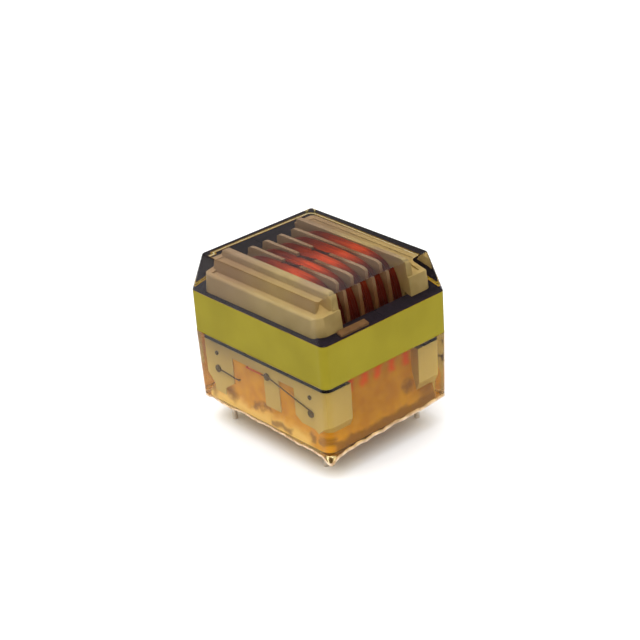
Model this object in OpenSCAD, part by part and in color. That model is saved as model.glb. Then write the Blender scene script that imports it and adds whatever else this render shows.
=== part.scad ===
// Board-mounted ferrite transformer: two E cores and a five-chamber coil former, cast in a clear resin block.
// X runs across the core, Y along the coil's axis, Z up.
// The origin is the middle of the face that meets the board.

/* [Core] */
// Width of the core across its three legs
core_w = 35; // [33:0.5:40]
// Length of the two core halves together, along the coil's axis
core_l = 28.8; // [27:0.2:34]
// Thickness of the core, up and down
core_h = 8; // [6:0.25:10]
// Width of each outer leg
leg_w = 4.9; // [4:0.1:5.6]
// Width of the centre leg
centre_w = 9.8; // [7:0.2:11]
// Length of each yoke along the coil's axis
yoke_l = 4.9; // [3.6:0.1:5.6]
// Radius of the core's upright corners
core_r = 1; // [0.5:0.1:2]
// Air gap ground between the two centre legs
air_gap = 0.6; // [0.2:0.1:2]
// Height of the core's underside above the board
core_z = 13.4; // [12:0.2:18]

/* [Core tape] */
// Thickness of the tape band
tape_t = 0.3; // [0.1:0.05:0.6]
// Width of the tape band, up and down
tape_w = 8; // [5:0.25:8]

/* [Coil former] */
// Number of winding chambers
chambers = 5; // [3:1:6]
// Wall of the tube round the centre leg
tube_wall = 0.9; // [0.6:0.1:1.4]
// Thickness of each end cheek
cheek_t = 1.3; // [0.8:0.1:1.8]
// Thickness of each partition
partition_t = 0.7; // [0.4:0.1:1]
// Reach of the cheeks and partitions above the core and below it
flange_over = 6.7; // [5.8:0.1:8]
// Radius of the corners of the cheeks and partitions
flange_r = 1.6; // [0.5:0.1:2.5]
// Width of the notch where a partition lets the wire cross
notch_w = 4.4; // [2:0.2:7]
// Depth of that notch
notch_d = 2.2; // [1.4:0.1:3]
// Number of partitions with a notch in their top edge, counted from the front
top_notches = 3; // [0:1:5]
// Reach of the end cheeks past the window's sides where they stand above the core
cheek_over = 1.3; // [0.5:0.1:2]
// Radius of the top corners of the end cheeks
cheek_r = 0.8; // [0.3:0.1:2]
// Radius of the long top edge of each end cheek, on its outer side
cheek_edge_r = 1; // [0.3:0.1:1.2]
// Reach of the ledge over each yoke past the window's sides
ledge_over = 1.9; // [1:0.1:2.4]
// Height of that ledge at its lip
ledge_h = 3.6; // [2.5:0.1:5]
// Distance from the core's end face back to the ledge's front
ledge_back = 1.6; // [0.6:0.1:2]
// Radius of the ledge's front corners, seen from above
ledge_r = 1; // [0.5:0.1:2]
// Thickness of the ledge's lip, in front of its channel and at the channel's ends
lip_t = 1.3; // [0.8:0.1:1.6]
// Radius of the lip's upper edge
lip_r = 0.6; // [0.2:0.1:0.8]
// Depth of the channel behind the lip
channel_d = 0.4; // [0.2:0.1:1.6]
// Slip fit between the former and the core
slip = 0.1; // [0.05:0.05:0.2]
// Gap between the partitions' sides and the outer legs
side_gap = 1.1; // [0.3:0.1:1.2]

/* [Terminal rails] */
// Distance from each side of the core in to the end of the rail
rail_side_back = 1.7; // [1:0.1:2.5]
// Thickness of the rail
rail_t = 1.7; // [1.2:0.1:2.4]
// Distance from the core's end face back to the rail's front
rail_back = 1.5; // [0.7:0.1:2]
// Thickness of the dark strip between the yoke and the rail
seat_t = 1.4; // [0.5:0.1:1.6]
// Width of each corner block
corner_block_w = 7.5; // [6:0.1:8]
// Height of each corner block under the rail
corner_block_h = 5.2; // [4.4:0.1:6.5]
// Width of the foot round the pin under each corner block
foot_w = 3; // [2.4:0.1:4]
// Height of the slopes that narrow a corner block to its foot
foot_slope_h = 1.9; // [1:0.1:2.6]
// Width of the middle block
middle_block_w = 4; // [3:0.1:6]
// Offset of the middle block from the middle of the rail
middle_block_x = 2.3; // [1:0.1:4]
// Height of the middle block under the rail
middle_block_h = 6.4; // [4:0.1:7]

/* [Windings] */
// Depth of wire wound on the tube
build = 5.2; // [3:0.1:5.4]
// Radius of a winding's outer corners
winding_r = 4; // [2:0.1:5]
// How much lower a winding is at its two sides than along its crown
crown = 0.35; // [0.1:0.05:0.6]
// Diameter of the lead wires
wire_d = 0.3; // [0.2:0.05:0.4]
// Distance from the core's middle to the slot where the inner lead leaves its winding
slot_x = 4.2; // [2.5:0.1:5.5]
// Width of that slot in the end cheek
slot_w = 0.8; // [0.6:0.1:1.2]

/* [Pins] */
// Diameter of the board pins
pin_d = 1; // [0.6:0.1:1.2]
// Distance from the rail's end in to the middle of a corner pin
pin_side_in = 3.3; // [2.4:0.1:4.4]
// Distance from the rail's front back to the middle of a pin
pin_in = 1.65; // [1.2:0.05:2.4]
// Length of the pins below the board face
pin_out = 4.8; // [3:0.1:6]
// Width of a pin's square shank inside the block, which keeps it from turning
shank_w = 1.2; // [1.2:0.1:1.5]
// Diameter of the pins' level ends and of the tie pegs
post_d = 0.8; // [0.5:0.05:1]
// Length of those ends and pegs in front of the rail
post_out = 0.6; // [0.55:0.05:0.65]
// Distance from the middle block's side to its tie peg
middle_peg_in = 1; // [0.7:0.1:2]
// Drop from the rail's underside to the tie pegs
post_drop = 0.3; // [0.25:0.05:1.2]
// Drop from the tie pegs to the corner pins' level ends
post_step = 3.2; // [2:0.1:3.4]
// Length of a tie peg inside its block
peg_depth = 3; // [1:0.1:4]

/* [Resin block] */
// Depth of resin over the former's highest edge
top_cover = 0.6; // [0.2:0.1:1.5]
// Inset of the top face from the sides, along X
bevel_x = 2.6; // [1:0.1:3]
// Inset of the top face from the ends, along Y
bevel_y = 1.5; // [0.5:0.1:1.8]
// Inset of the underside on each side, left by the mould's draft
draft = 0.3; // [0:0.05:0.4]
// Radius of the run of resin that hangs under one corner
run_r = 1; // [0.6:0.1:1.5]
// Reach of that run below the board face
run_l = 2.2; // [1.6:0.1:3]

/* [Leg insulator] */
// Length of the pale strip on the outer leg
strip_l = 6.4; // [2:0.2:8]
// Thickness of that strip
strip_t = 0.5; // [0.2:0.1:1]
// Distance from the core's end face back to the strip
strip_back = 4.5; // [1:0.1:6]
// Distance from the leg's outer side in to the strip
strip_in = 0.6; // [0.4:0.1:1.2]
// Gap between the strip and the former's ledge
strip_gap = 0.4; // [0.2:0.1:0.6]

/* [Hidden] */
core_top = core_z + core_h;
core_mid = core_z + core_h / 2;
window_w = core_w - 2 * leg_w;
window_l = core_l - 2 * yoke_l;

former_l = window_l - 2 * slip;
bore_w = centre_w + 2 * slip;
bore_h = core_h + 2 * slip;
tube_w = bore_w + 2 * tube_wall;
tube_h = bore_h + 2 * tube_wall;
flange_w = window_w - 2 * side_gap;
flange_h = core_h + 2 * flange_over;
chamber_l = (former_l - 2 * cheek_t - (chambers - 1) * partition_t) / chambers;
pitch = chamber_l + partition_t;
inner_y = former_l / 2 - cheek_t;
cheek_w = window_w + 2 * cheek_over;
ledge_z = core_top + slip;
ledge_y = core_l / 2 - ledge_back;
ledge_w = window_w + 2 * ledge_over;

rail_top = core_z - seat_t;
rail_z = rail_top - rail_t;
rail_w = core_w - 2 * rail_side_back;
rail_y = core_l / 2 - rail_back;
rail_l = rail_y - inner_y;
foot_top = rail_z - corner_block_h;
foot_z = foot_top - foot_slope_h;

winding_w = tube_w + 2 * build;
winding_h = tube_h + 2 * build;
winding_z = core_mid - winding_h / 2;

post_z = rail_z - post_drop;
low_post_z = post_z - post_step;
post_y = rail_y + post_out;
corner_x = rail_w / 2 - pin_side_in;
pin_y = rail_y - pin_in;
middle_peg_x = middle_block_x - middle_block_w / 2 + middle_peg_in;
// A wire runs in front of the rail, level with the middle of the posts' free length
wire_y = rail_y + post_out / 2;
// The turns round a post stop a little short of the rail and of the post's end
wrap_gap = 0.06;
wrap_l = post_out - 2 * wrap_gap;
wrap_reach = post_d / 2 + wire_d / 2;
lead_x = winding_w / 2 - winding_r - wire_d;

block_w = core_w + 2 * tape_t;
block_l = core_l + 2 * tape_t;
block_h = core_top + flange_over + top_cover;

round_fn = 48;
wire_fn = 24;
// A wire's bends are balls a little thicker than its runs, as shares of its diameter
elbow = 1.1;
run_end = 0.13;

// ---- Helpers ------------------------------------------------------------------------------------

// A flat rectangle about the origin with round corners
module round_rect(w, h, r) {
    square([w - 2 * r, h], center = true);
    square([w, h - 2 * r], center = true);
    for (x = [-1, 1], y = [-1, 1])
        translate([x * (w / 2 - r), y * (h / 2 - r)])
            circle(r, $fn = round_fn);
}

// Extrudes a profile drawn in X and Z along Y, about y = 0
module along_y(l) {
    rotate([90, 0, 0])
        linear_extrude(l, center = true)
            children();
}

// Extrudes a profile drawn in Y and Z along X, about x = 0
module along_x(l) {
    rotate([90, 0, 90])
        linear_extrude(l, center = true)
            children();
}

// A box between two corners
module box(a, b) {
    translate(a)
        cube(b - a);
}

// A round wire through a list of points; its straight runs end just inside the ball at each bend
module wire(route, d) {
    last = len(route) - 2;
    for (i = [0 : last]) {
        run = route[i + 1] - route[i];
        start = i == 0 ? 0 : d * run_end;
        end = i == last ? 0 : d * run_end;
        translate(route[i])
            rotate([0, acos(run[2] / norm(run)), atan2(run[1], run[0])])
                translate([0, 0, start])
                    cylinder(h = norm(run) - start - end, d = d, $fn = wire_fn);
    }
    for (i = [1 : last])
        translate(route[i])
            sphere(d = d * elbow, $fn = wire_fn);
}

// The turns of a lead round a post of the front rail
module wrap(x, z) {
    translate([x, -wire_y, z])
        rotate([90, 0, 0])
            difference() {
                cylinder(h = wrap_l, d = post_d + 2 * wire_d, center = true, $fn = round_fn);
                cylinder(h = 2 * wrap_l, d = post_d, center = true, $fn = round_fn);
            }
}

// Turns a piece of the front end round to the rear end
module rear() {
    rotate([0, 0, 180])
        children();
}

// ---- Core ---------------------------------------------------------------------------------------

module core_half() {
    translate([0, 0, core_z])
        linear_extrude(core_h)
            intersection() {
                round_rect(core_w, core_l, core_r);
                union() {
                    translate([-core_w / 2, -core_l / 2])
                        square([core_w, yoke_l]);
                    for (x = [-core_w / 2, core_w / 2 - leg_w])
                        translate([x, -core_l / 2])
                            square([leg_w, core_l / 2]);
                    translate([-centre_w / 2, -core_l / 2])
                        square([centre_w, core_l / 2 - air_gap / 2]);
                }
            }
}

module core_half_front() {
    color([0.11, 0.10, 0.14])
        core_half();
}

module core_half_rear() {
    color([0.14, 0.13, 0.17])
        rear()
            core_half();
}

module core_tape() {
    color([0.72, 0.68, 0.16])
        translate([0, 0, core_top - tape_w])
            linear_extrude(tape_w)
                difference() {
                    round_rect(block_w, block_l, core_r + tape_t);
                    round_rect(core_w, core_l, core_r);
                }
}

// The dark strip that the front yoke is bedded on
module core_seat() {
    box([-rail_w / 2, -rail_y, rail_top], [rail_w / 2, -former_l / 2, core_z]);
}

module core_seat_front() {
    color([0.07, 0.07, 0.10])
        core_seat();
}

module core_seat_rear() {
    color([0.07, 0.07, 0.10])
        rear()
            core_seat();
}

module leg_insulator() {
    near = -core_l / 2 + strip_back;
    color([0.78, 0.66, 0.52])
        box([ledge_w / 2 + strip_gap, near, core_top],
            [core_w / 2 - strip_in, near + strip_l, core_top + strip_t]);
}

// ---- Coil former --------------------------------------------------------------------------------

// Outline of a partition, standing in X and Z
module flange_outline() {
    translate([0, core_mid])
        round_rect(flange_w, flange_h, flange_r);
}

// The notches are cut in the top edge of the first partitions and in the bottom edge of all of them
module partition(i) {
    translate([0, -inner_y + i * pitch - partition_t / 2, 0])
        along_y(partition_t)
            difference() {
                flange_outline();
                if (i <= top_notches)
                    translate([-notch_w / 2, core_top + flange_over - notch_d])
                        square([notch_w, 2 * notch_d]);
                translate([-notch_w / 2, core_z - flange_over - notch_d])
                    square([notch_w, 2 * notch_d]);
            }
}

// Profile in Y and Z between two depths, on the core and up to a height, with its front top edge rounded
module bank(front, back, top, r) {
    intersection() {
        translate([front, ledge_z])
            square([back - front, top - ledge_z]);
        union() {
            translate([front, ledge_z])
                square([back - front, top - ledge_z - r]);
            translate([front + r, ledge_z])
                square([back - front, top - ledge_z]);
            translate([front + r, top - r])
                circle(r, $fn = round_fn);
        }
    }
}

// Front cheek: the inner lead leaves the winding through a slot in its lower edge
module cheek() {
    translate([0, -former_l / 2 + cheek_t / 2, 0])
        along_y(cheek_t)
            difference() {
                flange_outline();
                translate([0, core_mid + flange_h / 2])
                    square([flange_w, 2 * flange_over], center = true);
                translate([-slot_x - slot_w / 2, core_z - flange_over - slot_w])
                    square([slot_w, rail_z - core_z + flange_over + slot_w]);
            }
    cheek_top();
}

// The cheek above the core, where it is wider than the window
module cheek_top() {
    top_h = flange_over - slip;
    intersection() {
        along_x(cheek_w)
            bank(-former_l / 2, -inner_y, core_top + flange_over, cheek_edge_r);
        along_y(2 * former_l) {
            translate([0, ledge_z + top_h / 2])
                round_rect(cheek_w, top_h, cheek_r);
            translate([-cheek_w / 2, ledge_z])
                square([cheek_w, top_h / 2]);
        }
    }
}

// Ledge over the front yoke: a shelf with a shallow channel between its lip and the cheek
module ledge() {
    top = ledge_z + ledge_h;
    difference() {
        intersection() {
            along_x(ledge_w)
                bank(-ledge_y, -inner_y, top, lip_r);
            linear_extrude(block_h)
                round_rect(ledge_w, 2 * ledge_y, ledge_r);
        }
        box([lip_t - ledge_w / 2, lip_t - ledge_y, top - channel_d],
            [ledge_w / 2 - lip_t, -former_l / 2, top + channel_d]);
    }
}

// Corner block, on the side given by the sign; its foot stands on the board face, round the pin
module corner_block(side) {
    outer = rail_w / 2;
    translate([0, -(rail_y + inner_y) / 2, 0])
        along_y(rail_l)
            polygon([
                [side * outer, rail_top],
                [side * outer, foot_top],
                [side * (corner_x + foot_w / 2), foot_z],
                [side * (corner_x + foot_w / 2), 0],
                [side * (corner_x - foot_w / 2), 0],
                [side * (corner_x - foot_w / 2), foot_z],
                [side * (outer - corner_block_w), foot_top],
                [side * (outer - corner_block_w), rail_top]
            ]);
}

// Rail under the front yoke, with its corner blocks and its middle block
module rail() {
    box([-rail_w / 2, -rail_y, rail_z], [rail_w / 2, -inner_y, rail_top]);
    for (side = [-1, 1])
        corner_block(side);
    box([middle_block_x - middle_block_w / 2, -rail_y, rail_z - middle_block_h],
        [middle_block_x + middle_block_w / 2, -inner_y, rail_top]);
}

module former_end() {
    difference() {
        union() {
            cheek();
            ledge();
            rail();
        }
        row_pins();
    }
}

module coil_former() {
    color([0.80, 0.74, 0.58])
        difference() {
            union() {
                translate([0, 0, core_mid])
                    cube([tube_w, former_l, tube_h], center = true);
                for (i = [1 : chambers - 1])
                    partition(i);
                former_end();
                rear()
                    former_end();
            }
            translate([0, 0, core_mid])
                cube([bore_w, 2 * former_l, bore_h], center = true);
        }
}

// ---- Windings -----------------------------------------------------------------------------------

// A winding fills its chamber; its crown stands above its two sides
module winding(i) {
    y = -inner_y + (i - 0.5) * chamber_l + (i - 1) * partition_t;
    color([0.66, 0.17, 0.09])
        translate([0, y, core_mid])
            difference() {
                union() {
                    along_y(chamber_l)
                        round_rect(winding_w - 2 * crown, winding_h - 2 * crown, winding_r - crown);
                    along_y(chamber_l / 2)
                        round_rect(winding_w, winding_h, winding_r);
                }
                cube([tube_w, 2 * chamber_l, tube_h], center = true);
            }
}

// ---- Pins and pegs ------------------------------------------------------------------------------

// Pin of the front row: a round end below the board, a square shank, and a level end out through its block
module pin(x) {
    translate([x, -pin_y, -pin_out])
        cylinder(h = pin_out + shank_w, d = pin_d, $fn = round_fn);
    translate([x - shank_w / 2, -pin_y - shank_w / 2, 0])
        cube([shank_w, shank_w, low_post_z + post_d / 2]);
    translate([x, -pin_y, low_post_z])
        rotate([90, 0, 0])
            cylinder(h = post_y - pin_y, d = post_d, $fn = round_fn);
}

// Straight peg pressed into one of the front rail's blocks
module tie_peg(x) {
    translate([x, -rail_y + peg_depth, post_z])
        rotate([90, 0, 0])
            cylinder(h = peg_depth + post_out, d = post_d, $fn = round_fn);
}

// All that is pressed into the front rail
module row_pins() {
    for (x = [-corner_x, corner_x])
        pin(x);
    for (x = [-corner_x, middle_peg_x, corner_x])
        tie_peg(x);
}

module tinned() {
    color([0.72, 0.71, 0.68])
        children();
}

// ---- Leads --------------------------------------------------------------------------------------

// Outer lead: down from the winding, out under the cheek, and along to the corner pin at the left
module corner_lead() {
    under = core_z - flange_over - wire_d;
    wire([
        [-lead_x, -inner_y + chamber_l / 2, winding_z],
        [-lead_x, -inner_y + chamber_l / 2, under],
        [-lead_x, -wire_y, under],
        [-corner_x + wrap_reach, -wire_y, low_post_z]
    ], wire_d);
    wrap(-corner_x, low_post_z);
}

// Inner lead: out through the cheek's slot, along to the middle peg and round it,
// and down to the corner pin at the right
module middle_lead() {
    wire([
        [-slot_x, -inner_y, post_z],
        [-slot_x, -wire_y, post_z],
        [middle_peg_x - wrap_reach, -wire_y, post_z]
    ], wire_d);
    wrap(middle_peg_x, post_z);
    wire([
        [middle_peg_x + wrap_reach, -wire_y, post_z],
        [corner_x, -wire_y, low_post_z + wrap_reach]
    ], wire_d);
    wrap(corner_x, low_post_z);
}

module enamelled() {
    color([0.70, 0.20, 0.10])
        children();
}

// ---- Resin block --------------------------------------------------------------------------------

// Half outline of the block for a half width at the band, its inset at the top and its inset at the bottom
function block_outline(half, bevel) = [
    [-half + draft, 0], [half - draft, 0],
    [half, core_z], [half, core_top],
    [half - bevel, block_h], [-half + bevel, block_h],
    [-half, core_top], [-half, core_z]
];

module block_shape() {
    intersection() {
        along_y(block_l)
            polygon(block_outline(block_w / 2, bevel_x));
        along_x(block_w)
            polygon(block_outline(block_l / 2, bevel_y));
        linear_extrude(block_h)
            round_rect(block_w, block_l, core_r + tape_t);
    }
    resin_run();
}

// A run of resin that set as it dripped off one lower corner
module resin_run() {
    translate([block_w / 2 - draft - run_r, -block_l / 2 + draft + run_r, run_r - run_l]) {
        cylinder(h = run_l, r = run_r, $fn = round_fn);
        sphere(run_r, $fn = round_fn);
    }
}

module contents() {
    core_half_front();
    core_half_rear();
    core_tape();
    core_seat_front();
    core_seat_rear();
    leg_insulator();
    coil_former();
    for (i = [1 : chambers])
        winding(i);
    row_metal();
    rear()
        row_metal();
}

// The pins, pegs and leads of the front rail, which the rear rail repeats
module row_metal() {
    row_pins();
    corner_lead();
    middle_lead();
}

module potting_block() {
    color([0.90, 0.66, 0.30, 0.35])
        difference() {
            block_shape();
            contents();
        }
}

// ---- Nodes --------------------------------------------------------------------------------------

core_tape();
core_half_front();
core_half_rear();
coil_former();
winding(1);  // winding_1
winding(2);  // winding_2
winding(3);  // winding_3
winding(4);  // winding_4
winding(5);  // winding_5
core_seat_front();
core_seat_rear();
leg_insulator();
tinned() pin(-corner_x);  // pin_1
tinned() pin(corner_x);  // pin_2
tinned() rear() pin(-corner_x);  // pin_3
tinned() rear() pin(corner_x);  // pin_4
tinned() tie_peg(-corner_x);  // tie_peg_1
tinned() tie_peg(corner_x);  // tie_peg_2
tinned() rear() tie_peg(-corner_x);  // tie_peg_3
tinned() rear() tie_peg(corner_x);  // tie_peg_4
tinned() tie_peg(middle_peg_x);  // tie_peg_5
tinned() rear() tie_peg(middle_peg_x);  // tie_peg_6
enamelled() corner_lead();  // start_lead_a
enamelled() middle_lead();  // start_lead_b
enamelled() rear() corner_lead();  // finish_lead_a
enamelled() rear() middle_lead();  // finish_lead_b
potting_block();
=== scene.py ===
"""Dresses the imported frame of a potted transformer: resin, tape, ferrite, former, windings and pins."""
import math
import random

import bmesh
import bpy
from bpy.props import FloatProperty, FloatVectorProperty, IntProperty, PointerProperty
from mathutils import Matrix, Vector, noise


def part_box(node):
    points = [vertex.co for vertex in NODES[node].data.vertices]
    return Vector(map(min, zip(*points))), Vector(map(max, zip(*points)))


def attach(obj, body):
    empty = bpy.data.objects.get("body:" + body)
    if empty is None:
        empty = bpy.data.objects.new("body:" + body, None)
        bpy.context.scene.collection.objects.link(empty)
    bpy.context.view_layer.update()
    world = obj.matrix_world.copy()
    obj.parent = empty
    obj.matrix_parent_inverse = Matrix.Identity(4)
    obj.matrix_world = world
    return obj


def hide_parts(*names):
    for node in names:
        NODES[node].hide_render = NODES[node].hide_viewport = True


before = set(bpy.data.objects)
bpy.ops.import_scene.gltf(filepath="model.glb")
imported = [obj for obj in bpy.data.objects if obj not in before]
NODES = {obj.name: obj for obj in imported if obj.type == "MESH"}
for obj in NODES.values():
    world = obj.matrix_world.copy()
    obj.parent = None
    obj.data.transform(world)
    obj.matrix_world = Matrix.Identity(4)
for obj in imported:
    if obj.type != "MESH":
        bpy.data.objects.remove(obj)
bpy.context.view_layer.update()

bl_info = {
    "name": "Potted Ferrite Transformer",
    "version": (1, 0, 0),
    "blender": (4, 5, 0),
    "location": "View3D > Sidebar > Transformer",
    "description": "Dresses a board-mounted transformer: resin, tape, ferrite, former, windings and pins",
    "category": "Object",
}

MM = 0.001
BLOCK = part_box("potting_block")
WINDINGS = sorted(name for name in NODES if name.startswith("winding_"))
PINS = sorted(name for name in NODES if name.startswith("pin_"))
PEGS = sorted(name for name in NODES if name.startswith("tie_peg_"))
LEADS = sorted(name for name in NODES if "_lead_" in name)

# Corner radius of the tape band, which the cast block shares
CORNER_R = 1.3 * MM


def clamp(value):
    """The value, kept between 0 and 1."""
    return max(0.0, min(1.0, value))


def box_mm(node):
    """The corners of a node's box, in millimetres."""
    low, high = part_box(node)
    return low / MM, high / MM


# ---- Mesh helpers --------------------------------------------------------------------------------

def new_mesh(name, bm, sharp_degrees=30):
    """A mesh from a bmesh, shaded smooth but for the edges sharper than the given angle."""
    bmesh.ops.recalc_face_normals(bm, faces=bm.faces)
    mesh = bpy.data.meshes.new(name)
    bm.to_mesh(mesh)
    bm.free()
    mesh.shade_smooth()
    mesh.set_sharp_from_angle(angle=math.radians(sharp_degrees))
    return mesh


def add_piece(name, mesh, slot, material, *nodes):
    """Links a piece that rides with the frame, gives it its material and stands for CAD nodes; the slot is
    not used.
    """
    piece = bpy.data.objects.new(name, mesh)
    bpy.context.scene.collection.objects.link(piece)
    mesh.materials.clear()
    mesh.materials.append(material)
    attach(piece, "root")
    if nodes:
        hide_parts(*nodes)


def paint_node(name, material):
    """Gives a CAD node its material."""
    for place in NODES[name].material_slots:
        place.material = material


def rounded_copy(node, width, segments=2):
    """A copy of a CAD node's mesh with its edges rounded, as a mould or a press leaves them."""
    mesh = NODES[node].data.copy()
    bm = bmesh.new()
    bm.from_mesh(mesh)
    bmesh.ops.remove_doubles(bm, verts=bm.verts, dist=1e-6)
    bmesh.ops.dissolve_limit(bm, angle_limit=math.radians(1), verts=bm.verts, edges=bm.edges)
    bm.to_mesh(mesh)
    bm.free()
    holder = bpy.data.objects.new("rounding", mesh)
    bpy.context.scene.collection.objects.link(holder)
    bevel = holder.modifiers.new("Round", "BEVEL")
    bevel.width = width
    bevel.segments = segments
    bevel.limit_method = "ANGLE"
    bevel.angle_limit = math.radians(40)
    bevel.harden_normals = True
    bpy.context.view_layer.update()
    done = bpy.data.meshes.new_from_object(holder.evaluated_get(bpy.context.evaluated_depsgraph_get()))
    bpy.data.objects.remove(holder)
    return done


def outline(half_x, half_y, radius, side_steps=36, corner_steps=8):
    """Points round a rectangle with round corners, closer together where a side meets a corner."""
    near_corner = 0.12 * MM
    points = []
    corners = [(1, -1, -90), (1, 1, 0), (-1, 1, 90), (-1, -1, 180)]
    for i, (sx, sy, start) in enumerate(corners):
        cx = sx * (half_x - radius)
        cy = sy * (half_y - radius)
        for k in range(corner_steps + 1):
            a = math.radians(start + 90 * k / corner_steps)
            points.append(Vector((cx + radius * math.cos(a), cy + radius * math.sin(a))))
        nx, ny, turn = corners[(i + 1) % 4]
        a = math.radians(turn)
        end = Vector((nx * (half_x - radius), ny * (half_y - radius)))
        end += Vector((math.cos(a), math.sin(a))) * radius
        begin = points[-1]
        edge = near_corner / (end - begin).length
        shares = [edge] + [k / side_steps for k in range(1, side_steps)] + [1 - edge]
        points += [begin.lerp(end, s) for s in shares]
    return points


def skin_rings(bm, rings, closed=False):
    """Joins rings of vertices of equal count with quads."""
    count = len(rings[0])
    pairs = list(zip(rings, rings[1:]))
    if closed:
        pairs.append((rings[-1], rings[0]))
    for low, high in pairs:
        for k in range(count):
            n = (k + 1) % count
            bm.faces.new((low[k], low[n], high[n], high[k]))


def cap_ends(bm, rings):
    """Closes the first and the last ring with a face each."""
    bm.faces.new(list(reversed(rings[0])))
    bm.faces.new(rings[-1])


def sweep(bm, path, radius, sides, closed=False):
    """Sweeps a round section along a path with a frame that doesn't twist."""
    count = len(path)
    tangents = []
    for i in range(count):
        before = path[i - 1] if (i or closed) else path[0]
        after = path[(i + 1) % count] if (i < count - 1 or closed) else path[-1]
        tangents.append((after - before).normalized())
    side = tangents[0].orthogonal().normalized()
    rings = []
    for point, along in zip(path, tangents):
        side = (side - along * side.dot(along)).normalized()
        other = along.cross(side)
        ring = []
        for k in range(sides):
            a = math.tau * k / sides
            ring.append(bm.verts.new(point + (side * math.cos(a) + other * math.sin(a)) * radius))
        rings.append(ring)
    skin_rings(bm, rings, closed)
    if not closed:
        cap_ends(bm, rings)


# ---- Material helpers ----------------------------------------------------------------------------

def group_tree(name, inputs, outputs):
    """A shader node group with named sockets, and its input and output nodes."""
    tree = bpy.data.node_groups.new(name, "ShaderNodeTree")
    for label, kind, value in inputs:
        socket = tree.interface.new_socket(label, in_out="INPUT", socket_type=kind)
        socket.default_value = value
    for label, kind in outputs:
        tree.interface.new_socket(label, in_out="OUTPUT", socket_type=kind)
    return tree, tree.nodes.new("NodeGroupInput"), tree.nodes.new("NodeGroupOutput")


def vector_math(tree, operation, *values):
    """The outcome of a sum with vectors, each an output socket or a plain tuple."""
    step = tree.nodes.new("ShaderNodeVectorMath")
    step.operation = operation
    for place, value in zip(step.inputs, values):
        if isinstance(value, tuple):
            place.default_value = value
        else:
            tree.links.new(value, place)
    return step.outputs["Vector"]


def mottle_group():
    """Two colours mixed by soft noise, as in pigment that isn't quite even."""
    colour = "NodeSocketColor"
    number = "NodeSocketFloat"
    tree, given, out = group_tree(
        "Mottle",
        [("Colour A", colour, (1, 1, 1, 1)), ("Colour B", colour, (0, 0, 0, 1)), ("Scale", number, 300.0),
         ("Detail", number, 4.0), ("Low", number, 0.35), ("High", number, 0.65),
         ("Stretch", "NodeSocketVector", (1, 1, 1))],
        [("Colour", colour)],
    )
    place = tree.nodes.new("ShaderNodeTexCoord")
    cloud = tree.nodes.new("ShaderNodeTexNoise")
    spread = tree.nodes.new("ShaderNodeMapRange")
    blend = tree.nodes.new("ShaderNodeMix")
    blend.data_type = "RGBA"
    stretched = vector_math(tree, "MULTIPLY", place.outputs["Object"], given.outputs["Stretch"])
    link = tree.links.new
    link(stretched, cloud.inputs["Vector"])
    link(given.outputs["Scale"], cloud.inputs["Scale"])
    link(given.outputs["Detail"], cloud.inputs["Detail"])
    link(cloud.outputs["Fac"], spread.inputs["Value"])
    link(given.outputs["Low"], spread.inputs["From Min"])
    link(given.outputs["High"], spread.inputs["From Max"])
    link(spread.outputs["Result"], blend.inputs["Factor"])
    link(given.outputs["Colour A"], blend.inputs["A"])
    link(given.outputs["Colour B"], blend.inputs["B"])
    link(blend.outputs["Result"], out.inputs["Colour"])
    return tree


def grain_group():
    """A normal with fine grain over slow waves."""
    number = "NodeSocketFloat"
    tree, given, out = group_tree(
        "Surface Grain",
        [("Fine Scale", number, 6000.0), ("Fine Depth", number, 0.000004),
         ("Wave Scale", number, 300.0), ("Wave Depth", number, 0.00002)],
        [("Normal", "NodeSocketVector")],
    )
    place = tree.nodes.new("ShaderNodeTexCoord")
    fine = tree.nodes.new("ShaderNodeTexNoise")
    wave = tree.nodes.new("ShaderNodeTexNoise")
    bump_fine = tree.nodes.new("ShaderNodeBump")
    bump_wave = tree.nodes.new("ShaderNodeBump")
    link = tree.links.new
    for cloud, bump, kind in ((fine, bump_fine, "Fine"), (wave, bump_wave, "Wave")):
        cloud.inputs["Detail"].default_value = 3.0
        link(place.outputs["Object"], cloud.inputs["Vector"])
        link(given.outputs[kind + " Scale"], cloud.inputs["Scale"])
        link(cloud.outputs["Fac"], bump.inputs["Height"])
        link(given.outputs[kind + " Depth"], bump.inputs["Distance"])
    link(bump_wave.outputs["Normal"], bump_fine.inputs["Normal"])
    link(bump_fine.outputs["Normal"], out.inputs["Normal"])
    return tree


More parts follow.
